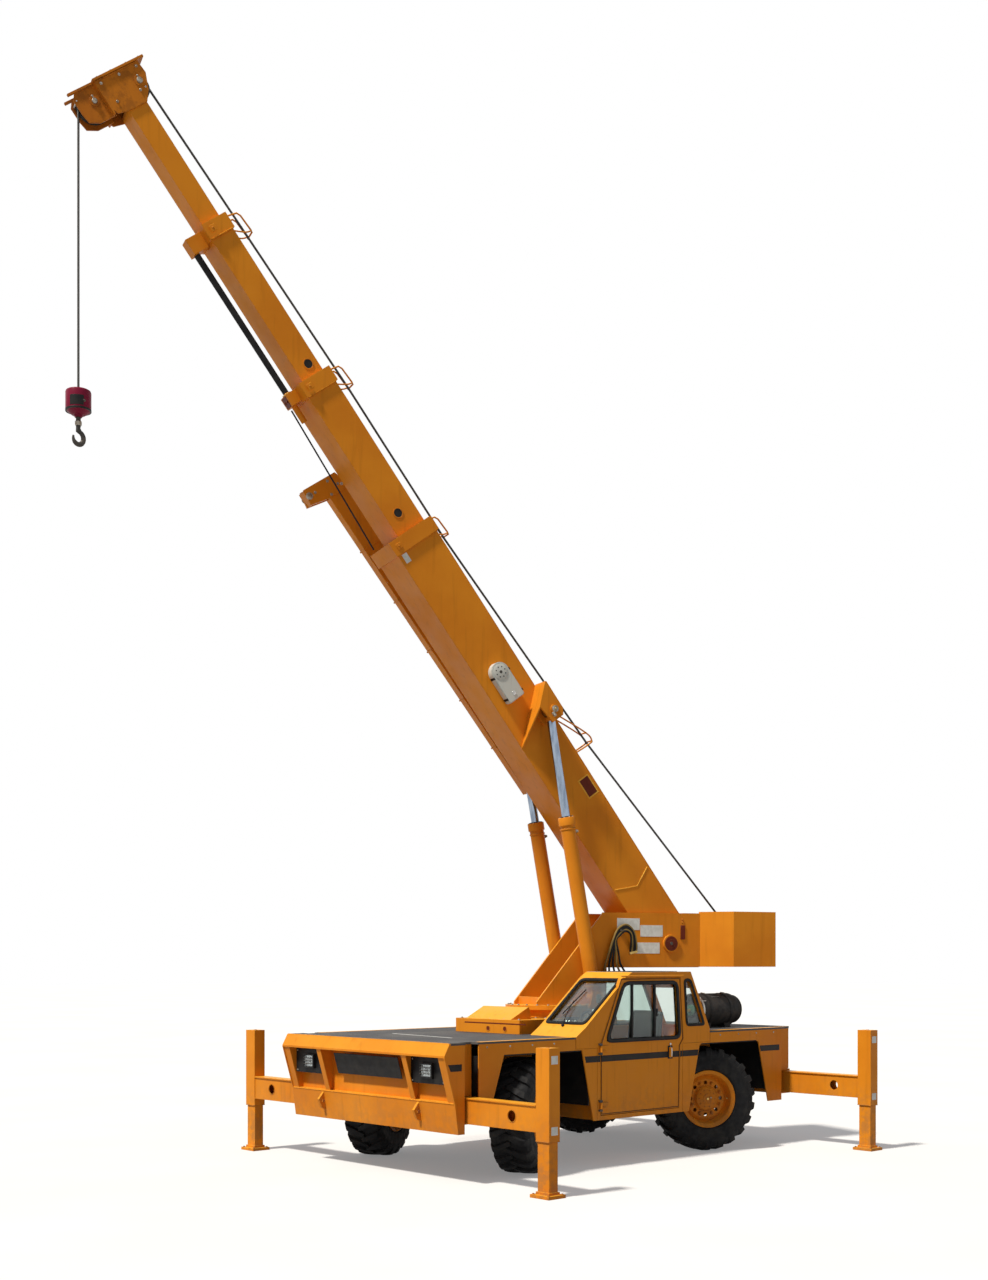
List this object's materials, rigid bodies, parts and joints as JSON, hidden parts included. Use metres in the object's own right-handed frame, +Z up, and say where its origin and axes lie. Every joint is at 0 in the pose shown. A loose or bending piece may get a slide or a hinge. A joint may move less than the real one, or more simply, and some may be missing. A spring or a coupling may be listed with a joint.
{
  "type": "mobile crane",
  "caption": "Carry-deck mobile crane with a low one-man cab, full-circle turret, telescopic boom with twin lift cylinders, four-wheel steering and out-and-down outriggers.",
  "frame": {"origin": "centre of the bounding box on the ground, as parked with the outriggers out and the boom as stored", "axes": "+Z up, the machine faces -Y, its left (cab) side is +X"},
  "size_m": [4.565, 7.281, 10.2353],
  "materials": {
    "orange_paint": "gloss",
    "dark_deck": "matte",
    "black_paint": "satin",
    "dark_steel": "matte",
    "chrome": "gloss",
    "tyre": "matte",
    "glass": "gloss",
    "red_paint": "satin",
    "seat": "matte",
    "grey_box": "satin",
    "wire": "satin"
  },
  "bodies": {
    "chassis": {"chassis_frame": "orange_paint", "nose_panel": "orange_paint", "front_lamps": "black_paint", "deck_plate": "dark_deck", "wheel_wells": "black_paint", "body_side_left": "orange_paint", "body_side_right": "orange_paint", "tail_panel": "orange_paint", "right_tank": "orange_paint", "engine_block": "dark_steel", "cab_body": "orange_paint", "cab_glass": "glass", "cab_seat": "seat", "cab_controls": "black_paint", "cab_hinge_pins": "dark_steel", "air_cleaner": "black_paint", "turret_pedestal": "orange_paint", "front_axle": "dark_steel", "rear_axle": "dark_steel"},
    "cab_door": {"cab_door": "orange_paint", "cab_door_glass": "glass"},
    "turret": {"turret_table": "orange_paint", "counterweight": "orange_paint", "winch": "dark_steel"},
    "boom": {"boom_base": "orange_paint", "lift_brackets": "orange_paint", "stowed_jib": "orange_paint", "cable_reel": "grey_box"},
    "boom_two": {"boom_stage_two": "orange_paint"},
    "boom_three": {"boom_stage_three": "orange_paint"},
    "boom_four": {"boom_stage_four": "orange_paint", "boom_head": "orange_paint", "head_sheaves": "dark_steel"},
    "hook_line": {"hoist_line": "wire", "hook_block": "red_paint"},
    "hook": {"hook": "dark_steel"},
    "lift_barrel_left": {"lift_barrel_left": "orange_paint"},
    "lift_rod_left": {"lift_rod_left": "chrome"},
    "lift_barrel_right": {"lift_barrel_right": "orange_paint"},
    "lift_rod_right": {"lift_rod_right": "chrome"},
    "knuckle_front_left": {"knuckle_front_left": "dark_steel"},
    "wheel_front_left": {"rim_front_left": "orange_paint", "tyre_front_left": "tyre"},
    "knuckle_front_right": {"knuckle_front_right": "dark_steel"},
    "wheel_front_right": {"rim_front_right": "orange_paint", "tyre_front_right": "tyre"},
    "knuckle_rear_left": {"knuckle_rear_left": "dark_steel"},
    "wheel_rear_left": {"rim_rear_left": "orange_paint", "tyre_rear_left": "tyre"},
    "knuckle_rear_right": {"knuckle_rear_right": "dark_steel"},
    "wheel_rear_right": {"rim_rear_right": "orange_paint", "tyre_rear_right": "tyre"},
    "outrigger_beam_front_left": {"outrigger_beam_front_left": "orange_paint"},
    "outrigger_leg_front_left": {"outrigger_leg_front_left": "orange_paint"},
    "outrigger_beam_front_right": {"outrigger_beam_front_right": "orange_paint"},
    "outrigger_leg_front_right": {"outrigger_leg_front_right": "orange_paint"},
    "outrigger_beam_rear_left": {"outrigger_beam_rear_left": "orange_paint"},
    "outrigger_leg_rear_left": {"outrigger_leg_rear_left": "orange_paint"},
    "outrigger_beam_rear_right": {"outrigger_beam_rear_right": "orange_paint"},
    "outrigger_leg_rear_right": {"outrigger_leg_rear_right": "orange_paint"}
  },
  "joints": [
    {"name": "slew", "type": "hinge", "parent": "chassis", "child": "turret", "pos_m": [0, 1.04549, 1.52], "axis": [0, 0, -1], "continuous": true},
    {"name": "luff", "type": "hinge", "parent": "turret", "child": "boom", "pos_m": [0.39492, 2.26094, 2.151], "axis": [-0.9511, 0.309, 0], "range_deg": [-52, 23]},
    {"name": "telescope", "type": "slide", "parent": "boom", "child": "boom_two", "axis": [-0.1845, -0.5678, 0.8022], "range_m": [-1.05, 2]},
    {"name": "telescope_three", "type": "slide", "parent": "boom_two", "child": "boom_three", "axis": [-0.1845, -0.5678, 0.8022], "range_m": [-1.05, 2]},
    {"name": "telescope_four", "type": "slide", "parent": "boom_three", "child": "boom_four", "axis": [-0.1845, -0.5678, 0.8022], "range_m": [-1.05, 2]},
    {"name": "line_hang", "type": "hinge", "parent": "boom_four", "child": "hook_line", "pos_m": [-1.43824, -3.38094, 9.74278], "axis": [-0.9511, 0.309, 0], "range_deg": [-23, 52]},
    {"name": "hook_swivel", "type": "hinge", "parent": "hook_line", "child": "hook", "pos_m": [-1.47841, -3.50458, 6.891], "axis": [0, 0, 1], "continuous": true},
    {"name": "lift_cylinder_left", "type": "hinge", "parent": "turret", "child": "lift_barrel_left", "pos_m": [0.43554, 1.2436, 1.6], "axis": [-0.9511, 0.309, 0], "range_deg": [-50.07, 22.26]},
    {"name": "lift_rod_left", "type": "slide", "parent": "lift_barrel_left", "child": "lift_rod_left", "axis": [-0.0542, -0.1669, 0.9845], "range_m": [-0.945, 0.4191]},
    {"name": "lift_cylinder_right", "type": "hinge", "parent": "turret", "child": "lift_barrel_right", "pos_m": [-0.23591, 1.46177, 1.6], "axis": [-0.9511, 0.309, 0], "range_deg": [-50.07, 22.26]},
    {"name": "lift_rod_right", "type": "slide", "parent": "lift_barrel_right", "child": "lift_rod_right", "axis": [-0.0542, -0.1669, 0.9845], "range_m": [-0.945, 0.4191]},
    {"name": "steer_front_left", "type": "hinge", "parent": "chassis", "child": "knuckle_front_left", "pos_m": [0.8, -0.34951, 0.5395], "axis": [0, 0, 1], "range_deg": [-60, 4]},
    {"name": "spin_front_left", "type": "hinge", "parent": "knuckle_front_left", "child": "wheel_front_left", "pos_m": [0.96776, -0.26031, 0.5395], "axis": [0.8829, 0.4695, 0], "continuous": true},
    {"name": "steer_front_right", "type": "hinge", "parent": "chassis", "child": "knuckle_front_right", "pos_m": [-0.8, -0.34951, 0.5395], "axis": [0, 0, 1], "range_deg": [-60, 4]},
    {"name": "spin_front_right", "type": "hinge", "parent": "knuckle_front_right", "child": "wheel_front_right", "pos_m": [-0.96776, -0.43871, 0.5395], "axis": [0.8829, 0.4695, 0], "continuous": true},
    {"name": "steer_rear_left", "type": "hinge", "parent": "chassis", "child": "knuckle_rear_left", "pos_m": [0.8, 2.40049, 0.5395], "axis": [0, 0, -1], "range_deg": [-60, 4]},
    {"name": "spin_rear_left", "type": "hinge", "parent": "knuckle_rear_left", "child": "wheel_rear_left", "pos_m": [0.96776, 2.31129, 0.5395], "axis": [0.8829, -0.4695, 0], "continuous": true},
    {"name": "steer_rear_right", "type": "hinge", "parent": "chassis", "child": "knuckle_rear_right", "pos_m": [-0.8, 2.40049, 0.5395], "axis": [0, 0, -1], "range_deg": [-60, 4]},
    {"name": "spin_rear_right", "type": "hinge", "parent": "knuckle_rear_right", "child": "wheel_rear_right", "pos_m": [-0.96776, 2.48969, 0.5395], "axis": [0.8829, -0.4695, 0], "continuous": true},
    {"name": "door_hinge", "type": "hinge", "parent": "chassis", "child": "cab_door", "pos_m": [1.236, 0.50049, 1.1], "axis": [0, 0, -1], "range_deg": [0, 80]},
    {"name": "beam_front_left", "type": "slide", "parent": "chassis", "child": "outrigger_beam_front_left", "axis": [1, 0, 0], "range_m": [-0.95, 0]},
    {"name": "leg_front_left", "type": "slide", "parent": "outrigger_beam_front_left", "child": "outrigger_leg_front_left", "axis": [0, 0, -1], "range_m": [-0.33, 0.1]},
    {"name": "beam_front_right", "type": "slide", "parent": "chassis", "child": "outrigger_beam_front_right", "axis": [-1, 0, 0], "range_m": [-0.95, 0]},
    {"name": "leg_front_right", "type": "slide", "parent": "outrigger_beam_front_right", "child": "outrigger_leg_front_right", "axis": [0, 0, -1], "range_m": [-0.33, 0.1]},
    {"name": "beam_rear_left", "type": "slide", "parent": "chassis", "child": "outrigger_beam_rear_left", "axis": [1, 0, 0], "range_m": [-0.95, 0]},
    {"name": "leg_rear_left", "type": "slide", "parent": "outrigger_beam_rear_left", "child": "outrigger_leg_rear_left", "axis": [0, 0, -1], "range_m": [-0.33, 0.1]},
    {"name": "beam_rear_right", "type": "slide", "parent": "chassis", "child": "outrigger_beam_rear_right", "axis": [-1, 0, 0], "range_m": [-0.95, 0]},
    {"name": "leg_rear_right", "type": "slide", "parent": "outrigger_beam_rear_right", "child": "outrigger_leg_rear_right", "axis": [0, 0, -1], "range_m": [-0.33, 0.1]}
  ],
  "couplings": [
    {"joint": "telescope_three", "follows": "telescope", "ratio": 1},
    {"joint": "telescope_four", "follows": "telescope", "ratio": 1},
    {"joint": "line_hang", "follows": "luff", "ratio": -1},
    {"joint": "lift_cylinder_left", "follows": "luff", "ratio": 0.959},
    {"joint": "lift_rod_left", "follows": "luff", "m_per_rad": 1.039},
    {"joint": "lift_cylinder_right", "follows": "luff", "ratio": 0.959},
    {"joint": "lift_rod_right", "follows": "luff", "m_per_rad": 1.039},
    {"joint": "steer_front_right", "follows": "steer_front_left", "ratio": 1},
    {"joint": "steer_rear_right", "follows": "steer_rear_left", "ratio": 1}
  ]
}
